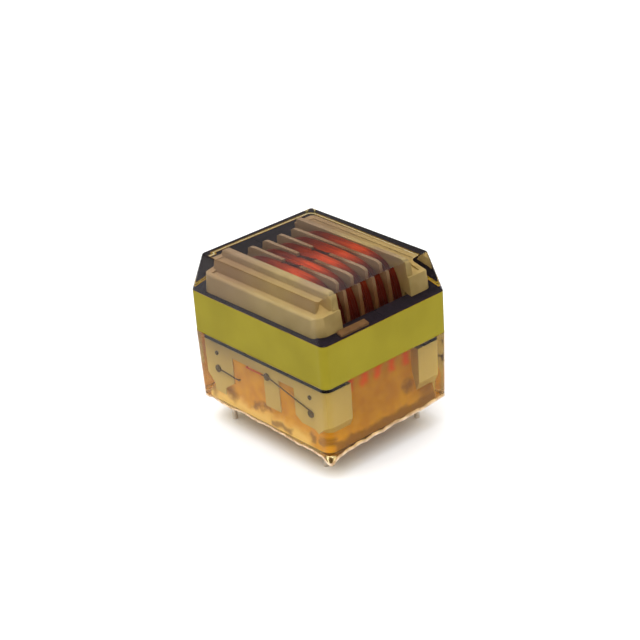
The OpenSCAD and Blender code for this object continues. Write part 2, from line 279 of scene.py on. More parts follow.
def zone_group():
    """A box-shaped mask with a soft edge, for stains, shade and fading."""
    vector = "NodeSocketVector"
    tree, given, out = group_tree(
        "Zone",
        [("Middle", vector, (0, 0, 0)), ("Half Size", vector, (0, 0, 0)), ("Soft Edge", vector, (1, 1, 1)),
         ("Ragged", vector, (0, 0, 0)), ("Strength", "NodeSocketFloat", 1.0)],
        [("Mask", "NodeSocketFloat")],
    )
    link = tree.links.new
    # Soft noise bends the outline of a ragged zone
    here = tree.nodes.new("ShaderNodeTexCoord").outputs["Object"]
    wander = tree.nodes.new("ShaderNodeTexNoise")
    wander.inputs["Scale"].default_value = 450.0
    wander.inputs["Detail"].default_value = 3.0
    link(here, wander.inputs["Vector"])
    swing = vector_math(tree, "SUBTRACT", wander.outputs["Color"], (0.5, 0.5, 0.5))
    bent = vector_math(tree, "MULTIPLY_ADD", swing, given.outputs["Ragged"], here)
    # Distance outside the box, as a share of the soft edge
    offset = vector_math(tree, "ABSOLUTE", vector_math(tree, "SUBTRACT", bent, given.outputs["Middle"]))
    outside = vector_math(tree, "SUBTRACT", offset, given.outputs["Half Size"])
    split = tree.nodes.new("ShaderNodeSeparateXYZ")
    link(vector_math(tree, "DIVIDE", outside, given.outputs["Soft Edge"]), split.inputs["Vector"])
    mask = given.outputs["Strength"]
    for axis in "XYZ":
        fade = tree.nodes.new("ShaderNodeMapRange")
        fade.interpolation_type = "SMOOTHSTEP"
        fade.inputs["To Min"].default_value = 1.0
        fade.inputs["To Max"].default_value = 0.0
        link(split.outputs[axis], fade.inputs["Value"])
        times = tree.nodes.new("ShaderNodeMath")
        times.operation = "MULTIPLY"
        link(mask, times.inputs[0])
        link(fade.outputs["Result"], times.inputs[1])
        mask = times.outputs["Value"]
    link(mask, out.inputs["Mask"])
    return tree


def group_in(material, make, **values):
    """Places a shared group in a material, building it the first time, with the material's own values."""
    title = {mottle_group: "Mottle", grain_group: "Surface Grain", zone_group: "Zone"}[make]
    tree = bpy.data.node_groups.get(title) or make()
    place = material.node_tree.nodes.new("ShaderNodeGroup")
    place.node_tree = tree
    for label, value in values.items():
        place.inputs[label.replace("_", " ")].default_value = value
    return place


def new_material(name, **sockets):
    """A material with a Principled shader, whose plain numbers are set on its own sockets."""
    material = bpy.data.materials.new(name)
    material.use_nodes = True
    shader = material.node_tree.nodes["Principled BSDF"]
    for label, value in sockets.items():
        shader.inputs[label.replace("_", " ")].default_value = value
    return material, shader, material.node_tree.links.new


def rgba(colour):
    """An opaque colour with its alpha."""
    return (*colour, 1.0)


def scaled(colour, factor):
    """A colour made lighter or darker."""
    return [factor * c for c in colour]


def dull_material(name, colour_a, colour_b, scale, grain, stretch=(1, 1, 1), **sockets):
    """An opaque material with mottled colour and surface grain."""
    material, shader, link = new_material(name, **sockets)
    mottle = group_in(material, mottle_group, Colour_A=rgba(colour_a), Colour_B=rgba(colour_b), Scale=scale,
                      Stretch=stretch)
    relief = group_in(material, grain_group, **grain)
    link(mottle.outputs["Colour"], shader.inputs["Base Color"])
    link(relief.outputs["Normal"], shader.inputs["Normal"])
    return material


def height_range(material, start, end):
    """A value that goes from 0 to 1 between two heights."""
    nodes = material.node_tree.nodes
    link = material.node_tree.links.new
    place = nodes.new("ShaderNodeTexCoord")
    split = nodes.new("ShaderNodeSeparateXYZ")
    spread = nodes.new("ShaderNodeMapRange")
    spread.inputs["From Min"].default_value = start
    spread.inputs["From Max"].default_value = end
    link(place.outputs["Object"], split.inputs["Vector"])
    link(split.outputs["Z"], spread.inputs["Value"])
    return spread.outputs["Result"]


def zone(material, middle, half_size, soft, ragged=0.0, strength=1.0):
    """A mask over a box, given in millimetres, that fades out over a soft and maybe ragged edge."""
    place = group_in(material, zone_group, Middle=Vector(middle) * MM, Half_Size=Vector(half_size) * MM,
                     Strength=strength)
    place.inputs["Soft Edge"].default_value = [soft * MM] * 3
    place.inputs["Ragged"].default_value = [ragged * MM] * 3
    return place.outputs["Mask"]


def coat_over(material, *coats):
    """Lays colours over a material's own, one after the other, each where its mask says."""
    link = material.node_tree.links.new
    base = material.node_tree.nodes["Principled BSDF"].inputs["Base Color"]
    for coat, mask in coats:
        mix = material.node_tree.nodes.new("ShaderNodeMix")
        mix.data_type = "RGBA"
        mix.inputs["B"].default_value = rgba(coat)
        link(mask, mix.inputs["Factor"])
        if base.is_linked:
            link(base.links[0].from_socket, mix.inputs["A"])
        else:
            mix.inputs["A"].default_value = base.default_value
        link(mix.outputs["Result"], base)


# ---- Settings ------------------------------------------------------------------------------------

def length(name, text, value, high=0.05, low=0.0):
    """A setting for a length in metres."""
    return FloatProperty(name=name, description=text, default=value, min=low, max=high,
                         unit="LENGTH", precision=5)


def angle(name, text, degrees):
    """A setting for an angle."""
    return FloatProperty(name=name, description=text, default=math.radians(degrees), subtype="ANGLE")


def colour(name, text, value):
    """A setting for a colour."""
    return FloatVectorProperty(name=name, description=text, default=value, min=0.0, max=1.0,
                               size=3, subtype="COLOR")


def amount(name, text, value, high):
    """A setting for a plain amount."""
    return FloatProperty(name=name, description=text, default=value, min=0.0, max=high)


class ResinSettings(bpy.types.PropertyGroup):
    clear: colour("Clear Colour", "Tint of the resin above the core", (0.985, 0.955, 0.86))
    amber: colour("Amber Colour", "Tint of the resin below the core", (0.98, 0.84, 0.44))
    absorb: colour("Absorption Colour", "Colour that depth gives to the resin", (0.86, 0.60, 0.16))
    density: amount("Absorption Density", "How fast that colour deepens, per metre", 45.0, 1000.0)
    gleam: colour("Gleam", "Tint of the resin's mirror reflections seen from the front", (0.04, 0.04, 0.04))
    edge: length("Edge Radius", "Rounding of the cast block's edges", 0.25 * MM)
    hip: length("Hip Radius", "Radius of the sloping edges where they reach the top", 0.5 * MM)
    sag: length("Sag", "How far the lower edge hangs at the corner with the run", 0.7 * MM)
    rise: length("Rise", "How far the lower edge stands up at the next corner", 0.5 * MM)
    ragged: length("Raggedness", "Unevenness of the lower edge", 0.26 * MM)
    run: length("Run", "How far the run of resin hangs under the corner", 1.7 * MM)


class CloudSettings(bpy.types.PropertyGroup):
    glow: colour("Glow Colour", "Colour of the cloudy resin under the core", (0.76, 0.42, 0.045))
    glow_shade: colour("Glow Shade", "Colour of its duller parts", (0.66, 0.33, 0.04))
    pale: colour("Pale Colour", "Colour of the cloudy resin near the board", (0.97, 0.75, 0.34))
    # Painted glow: the red of the windings' undersides shining through the cloudy resin
    red: colour("Red Colour", "Colour of the cloudy resin over the windings' undersides", (0.92, 0.17, 0.03))
    # Painted shadow in part: the long brown patch along the +X side is a shadow band
    brown: colour("Brown Colour", "Colour of its scorched patches", (0.24, 0.115, 0.035))
    behind: length("Depth Behind", "Distance from the rail's front back to the cloudy resin", 0.45 * MM)
    crust: colour("Crust Colour", "Colour of the crust along the lower edge", (0.88, 0.68, 0.48))
    crust_shade: colour("Crust Shade", "Colour of its dirty parts", (0.50, 0.33, 0.19))


class CoreSettings(bpy.types.PropertyGroup):
    tape: colour("Tape Colour", "Colour of the yellow band", (0.29, 0.238, 0.014))
    tape_shade: colour("Tape Shade", "Colour of its darker parts", (0.255, 0.208, 0.011))
    lap: length("Lap", "Step where the tape's outer end laps over itself", 0.06 * MM)
    glue: colour("Glue Colour", "Colour of the glue on the tape's inner face", (0.62, 0.33, 0.05))
    ferrite: colour("Ferrite Colour", "Colour of the core", (0.010, 0.008, 0.016))
    seat: colour("Bedding Colour", "Colour of the strips that the core is bedded on", (0.008, 0.006, 0.010))
    insulator: colour("Insulator Colour", "Colour of the strip on the outer leg", (0.17, 0.095, 0.045))


class FormerSettings(bpy.types.PropertyGroup):
    plastic: colour("Plastic Colour", "Colour of the moulded former", (0.38, 0.30, 0.145))
    plastic_shade: colour("Plastic Shade", "Colour of its duller parts", (0.31, 0.24, 0.105))
    lower: colour("Lower Colour", "Colour of the rails and blocks under the core", (0.60, 0.50, 0.25))
    # Painted shade: darkens the partitions between the windings, where shade falls
    partition_shade: colour("Stained Colour", "Colour of the partitions between the windings", (0.15, 0.072, 0.033))
    # Painted light: lightens the partitions' ends, where more light falls
    clean: colour("Clean Colour", "Colour of the partitions' ends away from the windings", (0.27, 0.19, 0.13))
    edge: length("Edge Radius", "Rounding that the mould leaves on the former's edges", 0.12 * MM)


class WireSettings(bpy.types.PropertyGroup):
    enamel: colour("Enamel Colour", "Colour of the enamelled wire", (0.64, 0.10, 0.03))
    enamel_shade: colour("Enamel Shade", "Colour of its darker turns", (0.37, 0.042, 0.015))
    bright: colour("Bright Colour", "Colour of the enamel where it catches the light", (0.95, 0.16, 0.045))
    # Painted shade: darkens the windings' ends and sides, where less light reaches
    winding_shade: colour("Burnt Colour", "Colour of the windings' ends and sides", (0.17, 0.022, 0.012))
    dark: colour("Dark Wire Colour", "Colour of the wire ends round the pegs", (0.10, 0.065, 0.03))
    wire: length("Wire Diameter", "Diameter of the winding wire", 0.27 * MM)
    slack: length("Slack", "How unevenly the turns lie", 0.06 * MM)
    seed: IntProperty(name="Seed", description="Seed of the uneven turns", default=7, min=0)


class MetalSettings(bpy.types.PropertyGroup):
    tin: colour("Tin Colour", "Colour of the tinned pins", (0.80, 0.74, 0.66))
    tin_shade: colour("Tin Shade", "Colour of the dull parts of the tin", (0.55, 0.48, 0.40))
    stain: colour("Stain Colour", "Colour of the metal inside the resin", (0.10, 0.075, 0.035))


class StageSettings(bpy.types.PropertyGroup):
    azimuth: angle("Azimuth", "Camera's angle round the block", 49.44)
    elevation: angle("Elevation", "Camera's angle above the board", 26.70)
    roll: angle("Roll", "Camera's lean", -4.08)
    distance: length("Distance", "Camera's distance from the block", 0.3175, 2.0)
    aside: length("Aside", "Camera's shift to its right", 0.00026, 1.0, -1.0)
    above: length("Above", "Camera's shift upwards", 0.01369, 1.0, -1.0)
    lens: amount("Lens", "Focal length of the camera, in millimetres", 97.7, 500.0)
    floor: colour("Floor Colour", "Colour of the floor", (0.94, 0.94, 0.94))
    horizon: amount("Horizon", "Strength of the light from low down", 0.2, 5.0)
    sky: amount("Sky", "Strength of the light from overhead", 2.1, 5.0)
    key: amount("Key", "Strength of the soft box overhead, in watts", 0.8, 50.0)
    fill: amount("Fill", "Strength of the soft box beside the camera, in watts", 0.22, 50.0)


SETTINGS = {
    "xfmr_resin": ResinSettings,
    "xfmr_cloud": CloudSettings,
    "xfmr_core": CoreSettings,
    "xfmr_former": FormerSettings,
    "xfmr_wire": WireSettings,
    "xfmr_metal": MetalSettings,
    "xfmr_stage": StageSettings,
}


# ---- Resin ---------------------------------------------------------------------------------------

# The run of resin: its distance in from the block's sides, and its radius
RUN_IN = 1.1 * MM
RUN_R = 0.85 * MM
# How deep the tape's groove is, and how far from its edges it reaches full depth
GROOVE = 0.12 * MM
GROOVE_LIP = 0.05 * MM
# How far the lower sides lean in, and how far the upper sides have leaned in at the top
DRAFT = 0.3 * MM
BEVEL_X = 2.6 * MM
BEVEL_Y = 1.5 * MM
# The casting's skin lies this far inside the solid
SKIN = 0.02 * MM
# The ragged lower edge fades out at this height
RAGGED_TOP = 3.5 * MM
# Heights of the rings under the tape, in millimetres, and above it, as shares of the way to the top
LOWER_RINGS = (0.28, 0.5, 0.9, 1.4, 2.0, 2.8, 4.0, 6.0, 8.0, 10.0, 12.0, 13.2)
UPPER_RINGS = (0.004, 0.02, 0.2, 0.4, 0.6, 0.8, 0.94, 0.965)
# Rings of the underside, in millimetres: how far in from the sides, and how far down
UNDERSIDE = (
    (0.08, 0.2), (0.28, 0.28), (0.5, 0.28), (0.75, 0.27), (1.0, 0.27), (1.3, 0.26), (1.6, 0.26),
    (2.0, 0.25), (2.6, 0.25), (4.0, 0.24), (6.0, 0.22), (9.0, 0.2), (12.0, 0.2),
)


def lower_edge(x, y, s):
    """Height of the casting's ragged lower edge over a point of its outline, with the run at one corner."""
    low, high = BLOCK
    across = (x - low.x) / (high.x - low.x)
    along = (y - low.y) / (high.y - low.y)
    front = max(0.0, across) ** 3 * max(0.0, 1 - along) ** 3
    right = max(0.0, across) ** 3 * max(0.0, along) ** 2
    rough = noise.fractal(Vector((x, y, 0)) / (3.1 * MM), 0.9, 2.3, 4)
    away = ((x - high.x + RUN_IN) ** 2 + (y - low.y - RUN_IN) ** 2) / RUN_R ** 2
    return right * s.rise - front * s.sag + rough * s.ragged - s.run * math.exp(-away)


def casting_levels(s):
    """Level by level: height, half width, half length and corner radius of the cast block."""
    tape_low, tape_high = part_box("core_tape")
    side_x = tape_high.x - SKIN
    side_y = tape_high.y - SKIN
    levels = []
    for z in LOWER_RINGS:
        inset = DRAFT * (1 - z * MM / tape_low.z)
        levels.append((z * MM, side_x - inset, side_y - inset, CORNER_R))
    groove_x = tape_high.x - GROOVE
    groove_y = tape_high.y - GROOVE
    levels.append((tape_low.z, side_x, side_y, CORNER_R))
    levels.append((tape_low.z + GROOVE_LIP, groove_x, groove_y, CORNER_R))
    levels.append((tape_high.z - GROOVE_LIP, groove_x, groove_y, CORNER_R))
    levels.append((tape_high.z, side_x, side_y, CORNER_R))
    top = BLOCK[1].z
    rise = top - tape_high.z
    for up in UPPER_RINGS:
        radius = CORNER_R + (s.hip - CORNER_R) * up
        levels.append((tape_high.z + rise * up, side_x - BEVEL_X * up, side_y - BEVEL_Y * up, radius))
    # The top edge turns over in a small arc that starts flush with the slopes
    steps = 5
    for k in range(1, steps + 1):
        a = math.radians(90) * k / steps
        inward = s.edge * (math.cos(a) - 1) * 0.6
        levels.append((top - s.edge * (1 - math.sin(a)),
                       side_x - BEVEL_X + inward + 0.05 * MM * math.cos(a),
                       side_y - BEVEL_Y + inward + 0.03 * MM * math.cos(a), s.hip))
    return levels


def casting_mesh(s):
    """The cast block's skin, from the ragged lower edge over the tape's groove to the bevelled top."""
    bm = bmesh.new()
    rings = []
    levels = casting_levels(s)
    for z, half_x, half_y, radius in levels:
        pull = max(0.0, 1 - z / RAGGED_TOP) ** 2
        rings.append([bm.verts.new((p.x, p.y, z + pull * lower_edge(p.x, p.y, s)))
                      for p in outline(half_x, half_y, radius)])
    # The underside: an edge arc, then rings that shrink to the middle, each less ragged than the last
    z, half_x, half_y, radius = levels[0]
    under = []
    for inset, down in UNDERSIDE:
        ring = []
        for p in outline(half_x - inset * MM, half_y - inset * MM, radius):
            edge = lower_edge(p.x, p.y, s) * math.exp(-inset / 8)
            ring.append(bm.verts.new((p.x, p.y, z - down * MM + edge)))
        under.append(ring)
    rings = list(reversed(under)) + rings
    skin_rings(bm, rings)
    cap_ends(bm, rings)
    return new_mesh("resin_casting", bm, 28)


def resin_material(s):
    """Clear casting resin: amber and hazy below the core, clear above it, with depth absorbing blue."""
    material, shader, link = new_material("Casting Resin", IOR=1.5, Transmission_Weight=1.0, Metallic=0.0,
                                          Specular_Tint=rgba(s.gleam))
    nodes = material.node_tree.nodes
    tape_low, tape_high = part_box("core_tape")
    height = height_range(material, tape_low.z, tape_high.z)
    tint = nodes.new("ShaderNodeMix")
    tint.data_type = "RGBA"
    tint.inputs["A"].default_value = rgba(s.amber)
    tint.inputs["B"].default_value = rgba(s.clear)
    link(height, tint.inputs["Factor"])
    link(tint.outputs["Result"], shader.inputs["Base Color"])
    haze = nodes.new("ShaderNodeMapRange")
    haze.inputs["To Min"].default_value = 0.09
    haze.inputs["To Max"].default_value = 0.012
    link(height, haze.inputs["Value"])
    link(haze.outputs["Result"], shader.inputs["Roughness"])
    relief = group_in(material, grain_group, Fine_Scale=1500.0, Fine_Depth=0.000002,
                      Wave_Scale=120.0, Wave_Depth=0.00002)
    link(relief.outputs["Normal"], shader.inputs["Normal"])
    depth = nodes.new("ShaderNodeVolumeAbsorption")
    depth.inputs["Color"].default_value = rgba(s.absorb)
    depth.inputs["Density"].default_value = s.density
    output = nodes["Material Output"]
    link(depth.outputs["Volume"], output.inputs["Volume"])
    # Lamps shine through the resin on what it holds
    path = nodes.new("ShaderNodeLightPath")
    through = nodes.new("ShaderNodeBsdfTransparent")
    through.inputs["Color"].default_value = (0.95, 0.92, 0.82, 1.0)
    choose = nodes.new("ShaderNodeMixShader")
    link(path.outputs["Is Shadow Ray"], choose.inputs["Fac"])
    link(shader.outputs["BSDF"], choose.inputs[1])
    link(through.outputs["BSDF"], choose.inputs[2])
    link(choose.outputs["Shader"], output.inputs["Surface"])
    return material


class XFMR_OT_resin(bpy.types.Operator):
    """Casts the resin block round the windings"""
    bl_idname = "xfmr.resin"
    bl_label = "Cast Resin Block"

    def execute(self, context):
        s = context.scene.xfmr_resin
        add_piece("resin_casting", casting_mesh(s), "resin", resin_material(s), "potting_block")
        return {"FINISHED"}


# ---- Cloudy resin --------------------------------------------------------------------------------

# Brown patches in the cloudy resin, one of them a painted shadow band: middle, half size, soft edge and
# raggedness, in millimetres
BROWN_PATCHES_AND_SHADOW = (
    ((-9.4, -12.8, 2.8), (0.2, 1.0, 0.1), 1.9, 3.0), ((-15.2, -12.8, 2.0), (0.5, 1.0, 0.3), 1.6, 3.0),
    ((13.4, 6.2, 5.0), (1.0, 0.3, 0.2), 1.5, 3.0), ((4.5, -13.6, 1.2), (2.5, 1.0, 0.1), 0.8, 2.5),
    # In this row, the long patch at (15.4, 0.0, 0.8) is painted shadow: a dark band along the +X side just
    # above the crust
    ((12.8, -13.6, 2.0), (0.2, 1.0, 0.4), 0.9, 3.0), ((15.4, 0.0, 0.8), (1.2, 12.0, 0.6), 0.9, 1.8),
    ((15.0, -12.6, 2.2), (0.3, 0.3, 0.5), 0.8, 3.0), ((-1.0, -13.6, 3.0), (2.0, 1.0, 0.1), 1.2, 4.0),
    ((13.8, 11.0, 3.4), (1.0, 0.5, 0.5), 4.2, 3.0),
)


def cloud_mesh(s):
    """The cloudy resin under the core: it stands just behind the rails and slopes in beside the windings."""
    half_y = -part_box("core_seat_front")[0].y - s.behind
    winding = box_mm(WINDINGS[0])[1].x
    # Height and half width, in millimetres
    profile = (
        (0.2, 15.9), (0.9, 15.9), (1.5, 15.6), (2.2, 15.2), (3.0, 14.7), (4.0, 14.1), (5.0, 13.5),
        (6.0, 12.9), (7.0, 12.3), (8.0, winding + 0.9), (9.5, winding + 0.8), (11.0, winding + 0.8),
        (12.9, winding + 0.7),
    )
    bm = bmesh.new()
    rings = []
    for z, half_x in profile:
        ring = []
        for p in outline(half_x * MM, half_y, 1.2 * MM, side_steps=48):
            swell = noise.noise(Vector((p.x, p.y, z * MM)) / (3.5 * MM)) * 0.18 * MM
            push = Vector((p.x, p.y, 0)).normalized() * swell
            # Near the board it wells out round the feet, higher at the corner with the run
            brim = 2.4 + 2.2 * clamp(p.x / (8 * MM))
            well = clamp((brim - z) / 1.2) * 0.9 * MM if p.y < 1 * MM - half_y else 0
            ring.append(bm.verts.new((p.x + push.x, p.y + push.y * 0.3 - well, z * MM)))
        rings.append(ring)
    skin_rings(bm, rings)
    cap_ends(bm, rings)
    return new_mesh("resin_cloud", bm, 50)


def cloud_material(s):
    """Cloudy amber resin: paler near the board, with brown patches, one of them a painted shadow band, and a
    painted glow where the windings' undersides show through.
    """
    material, shader, link = new_material("Cloudy Resin", Roughness=0.6, Specular_IOR_Level=0.1)
    mottle = group_in(material, mottle_group, Colour_A=rgba(s.glow), Colour_B=rgba(s.glow_shade),
                      Scale=330.0, Detail=5.0, Low=0.38, High=0.62)
    link(mottle.outputs["Colour"], shader.inputs["Base Color"])
    coat_over(material, (s.pale, zone(material, (-2, -13.2, 0), (13, 1.2, 1.0), 2.4, 2.5, 0.9)))
    # Brown patches; the long one along the +X side is a painted shadow band
    for middle, half_size, soft, ragged in BROWN_PATCHES_AND_SHADOW:
        coat_over(material, (s.brown, zone(material, middle, half_size, soft, ragged, 0.75)))
    # Painted glow: red patches stand for the windings' undersides shining through beside the core
    for node in WINDINGS:
        low, high = box_mm(node)
        middle = (high.x + 1, (low.y + high.y) / 2, low.z + 3.2)
        coat_over(material, (s.red, zone(material, middle, (2, 0.05, 0.7), 1.4, 1.6, 0.95)))
    return material


def crust_mesh(s):
    """A ragged crust of resin along the casting's lower edge, higher along one side."""
    half_x = BLOCK[1].x - DRAFT
    half_y = BLOCK[1].y - DRAFT
    bm = bmesh.new()
    rings = []
    for p in outline(half_x, half_y, CORNER_R, side_steps=90):
        inward = Vector((0 if abs(p.x) < half_x - CORNER_R else -p.x / half_x,
                         0 if abs(p.y) < half_y - CORNER_R else -p.y / half_y, 0)).normalized()
        edge = lower_edge(p.x, p.y, s)
        side = clamp((p.x / half_x - 0.9) * 10)
        tear = noise.fractal(Vector((p.x, p.y, 7 * MM)) / (2.2 * MM), 0.8, 2.3, 4)
        top = (0.28 + 0.3 * side) * MM + tear * (0.22 + 0.15 * side) * MM + edge
        bottom = min(edge - 0.06 * MM + 0.2 * tear * MM, top - 0.15 * MM)
        section = ((-0.02, bottom), (0.22, bottom + 0.04 * MM), (0.22, top - 0.04 * MM), (0.05, top))
        ring = []
        for depth, z in section:
            place = Vector((p.x, p.y, 0)) + inward * depth * MM
            ring.append(bm.verts.new((place.x, place.y, z)))
        rings.append(ring)
    skin_rings(bm, rings, closed=True)
    return new_mesh("casting_crust", bm, 60)


class XFMR_OT_cloud(bpy.types.Operator):
    """Clouds the resin under the core and leaves a crust on the casting's lower edge"""
    bl_idname = "xfmr.cloud"
    bl_label = "Cloud Lower Resin"

    def execute(self, context):
        s = context.scene.xfmr_cloud
        add_piece("resin_cloud", cloud_mesh(s), "resin", cloud_material(s))
        grain = {"Fine_Scale": 2500.0, "Fine_Depth": 0.00002}
        crust = dull_material("Resin Crust", s.crust, s.crust_shade, 700.0, grain,
                              Roughness=0.7, Specular_IOR_Level=0.15)
        add_piece("casting_crust", crust_mesh(context.scene.xfmr_resin), "resin", crust)
        return {"FINISHED"}


# ---- Core ----------------------------------------------------------------------------------------

# Where the tape's lap ends on the front, in from the corner, and where it starts on the side
LAP_END = 1.5 * MM
LAP_START = -9 * MM


def tape_mesh(s):
    """The tape band, wound once round the core, its outer end lapped over its start near a corner."""
    low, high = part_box("core_tape")
    thick = high.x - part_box("core_half_front")[1].x
    bm = bmesh.new()
    rings = []
    path = outline(high.x, high.y, CORNER_R, side_steps=60, corner_steps=12)
    inner = outline(high.x - thick, high.y - thick, CORNER_R - thick, side_steps=60, corner_steps=12)
    for p, q in zip(path, inner):
        inward = (q - p).normalized()
        on_front = p.y < low.y + 1.5 * MM and p.x > high.x - LAP_END
        on_side = p.x > high.x - 0.02 * MM and p.y < LAP_START
        wave = noise.noise(Vector((p.x, p.y, 0)) / (5 * MM)) * 0.02 * MM
        face = p + inward * ((0 if on_front or on_side else s.lap) + 0.01 * MM + max(0.0, wave))
        nick = noise.noise(Vector((p.x, p.y, 3 * MM)) / (2 * MM)) * 0.03 * MM
        bottom = low.z + 0.03 * MM + nick
        top = high.z - 0.03 * MM + nick
        section = (
            (face, bottom), (face, low.z + 0.12 * MM), (face, (low.z + high.z) / 2),
            (face, high.z - 0.12 * MM), (face, top), (q, top), (q, bottom),
        )
        ring = []
        for at, z in section:
            ring.append(bm.verts.new((at.x, at.y, z)))
        rings.append(ring)
    skin_rings(bm, rings, closed=True)
    return new_mesh("tape_band", bm, 25)


def tape_material(s):
    """Polyester tape, gone amber where its glue holds it to the core."""
    grain = {"Fine_Scale": 2500.0, "Fine_Depth": 0.000003, "Wave_Scale": 160.0, "Wave_Depth": 0.00002}
    material = dull_material("Polyester Tape", s.tape, s.tape_shade, 130.0, grain,
                             Roughness=0.5, Specular_IOR_Level=0.08)
    # One zone for each pair of inner faces, short of the corners
    low, high = box_mm("core_half_front")
    for half_x, half_y in ((high.x + 0.02, -low.y - 1.2), (high.x - 1.2, -low.y + 0.02)):
        coat_over(material, (s.glue, zone(material, (0, 0, 18), (half_x, half_y, 20), 0.06)))
    return material


class XFMR_OT_core(bpy.types.Operator):
    """Finishes the ferrite halves, the tape round them, their bedding and the insulator"""
    bl_idname = "xfmr.core"
    bl_label = "Finish Core"

    def execute(self, context):
        s = context.scene.xfmr_core
        grain = {"Fine_Scale": 5000.0, "Fine_Depth": 0.000012, "Wave_Depth": 0.000004}
        ferrite = dull_material("Ferrite", s.ferrite, scaled(s.ferrite, 1.5), 900.0, grain,
                                Roughness=0.7, Specular_IOR_Level=0.05)
        grain = {"Fine_Depth": 0.00001}
        seat = dull_material("Bedding Strip", s.seat, scaled(s.seat, 1.6), 700.0, grain,
                             Roughness=0.8, Specular_IOR_Level=0.1)
        grain = {"Fine_Scale": 3000.0, "Fine_Depth": 0.00001}
        paper = dull_material("Insulating Paper", s.insulator, scaled(s.insulator, 0.8), 900.0, grain,
                              Roughness=0.75, Specular_IOR_Level=0.15)
        for side in ("front", "rear"):
            node = "core_half_" + side
            add_piece("ferrite_" + side, rounded_copy(node, 0.18 * MM), "ferrite", ferrite, node)
        add_piece("tape_band", tape_mesh(s), "tape", tape_material(s), "core_tape")
        for side in ("front", "rear"):
            node = "core_seat_" + side
            add_piece("bedding_" + side, rounded_copy(node, 0.12 * MM), "seat", seat, node)
        strip = rounded_copy("leg_insulator", 0.08 * MM)
        add_piece("insulating_strip", strip, "insulator", paper, "leg_insulator")
        return {"FINISHED"}


# ---- Former --------------------------------------------------------------------------------------

def plastic_material(s):
    """Cream plastic: paler below the core, with painted shade darkening the partitions between the windings
    and painted light on their ends.
    """
    grain = {"Fine_Scale": 4000.0, "Fine_Depth": 0.000005, "Wave_Scale": 250.0, "Wave_Depth": 0.00001}
    material = dull_material("Moulded Plastic", s.plastic, s.plastic_shade, 220.0, grain,
                             Roughness=0.45, Specular_IOR_Level=0.15)
    low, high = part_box("core_half_front")
    reach = -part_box(WINDINGS[0])[0].y / MM - 0.1
    # Middle height of the part between the cheeks, from about the core's middle upwards
    rise = high.z / MM + 2
    coat_over(
        material,
        (s.lower, height_range(material, low.z + 1 * MM, low.z)),
        # Painted shade over the partitions between the cheeks, above the core
        (s.partition_shade, zone(material, (0, 0, rise), (14, reach, 6), 0.15)),
        # Painted light towards the left ends and on the upper right ends of the partitions
        (s.clean, zone(material, (-12, 0, rise), (2, reach, 6), 14.0)),
        (s.clean, zone(material, (9.5, 0, rise + 6), (1.5, reach, 3), 3.5, 1.0, 0.8)),
    )
    return material


class XFMR_OT_former(bpy.types.Operator):
    """Moulds the coil former"""
    bl_idname = "xfmr.former"
    bl_label = "Mould Former"

    def execute(self, context):
        s = context.scene.xfmr_former
        former = rounded_copy("coil_former", s.edge)
        add_piece("moulded_former", former, "former", plastic_material(s), "coil_former")
        return {"FINISHED"}


# ---- Wire ----------------------------------------------------------------------------------------

# How many layers of real turns a winding has, from the outside
LAYERS = 3
# From turn to turn and from layer to layer, in wire widths
PITCH = 1.04
NESTING = 0.8
# How far a layer's first and last turns lie below its middle turn
CROWN = 0.35 * MM
# Half the width and half the height of a winding's inside, which clears the former's tube
INSIDE = (5.95 * MM, 5.05 * MM)
# How many of the partitions, from the front, let wires cross over their top edge
CROSSINGS = 3
# How far apart the wires of a crossing lie, and how far in all they lead across the partition
CROSSING_GAP = 0.24 * MM
CROSSING_WIDTH = 1.6 * MM


def oval(turn, half_x, half_z):
    """A point of a squarish oval, as wire lies round a rectangular tube."""
    power = 2 / 3.2
    c, s = math.cos(turn), math.sin(turn)
    return half_x * math.copysign(abs(c) ** power, c), half_z * math.copysign(abs(s) ** power, s)


def winding_mesh(node, s, seed):
    """A coil: a packed inside, and the real turns of its outer layers."""
    low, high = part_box(node)
    rng = random.Random(seed)
    middle = (low + high) / 2
    half_x = (high.x - low.x) / 2
    half_z = (high.z - low.z) / 2
    room = high.y - low.y
    radius = s.wire / 2
    bm = bmesh.new()
    steps = 84
    for layer in range(LAYERS):
        turns = int((room - s.wire) / (s.wire * PITCH)) - (layer % 2)
        start = -(turns * s.wire * PITCH) / 2
        depth = radius + 0.02 * MM + (LAYERS - 1 - layer) * s.wire * NESTING
        for t in range(turns + 1):
            y = start + t * s.wire * PITCH
            crown = CROWN * (2 * y / room) ** 2
            drop = depth + crown + rng.uniform(0, s.slack)
            lean = rng.uniform(-1, 1) * s.slack
            phase = rng.uniform(0, math.tau)
            path = []
            for k in range(steps):
                a = math.tau * k / steps
                x, z = oval(a, half_x - drop, half_z - drop)
                wave = 1 - 0.004 * (1 + math.sin(2 * a + phase))
                along = middle.y + y + lean * math.sin(a + phase)
                path.append(Vector((middle.x + x * wave, along, middle.z + z * wave)))
            sweep(bm, path, radius, 6, closed=True)
    inner = LAYERS * s.wire * NESTING
    packed = (half_x - inner, half_z - inner)
    steps = 96
    rings = []
    for size, end in ((packed, -1), (packed, 1), (INSIDE, 1), (INSIDE, -1)):
        ring = []
        for k in range(steps):
            x, z = oval(math.tau * k / steps, *size)
            along = middle.y + end * (room / 2 - 0.05 * MM)
            ring.append(bm.verts.new((middle.x + x, along, middle.z + z)))
        rings.append(ring)
    skin_rings(bm, rings, closed=True)
    return new_mesh(node + "_turns", bm, 40)


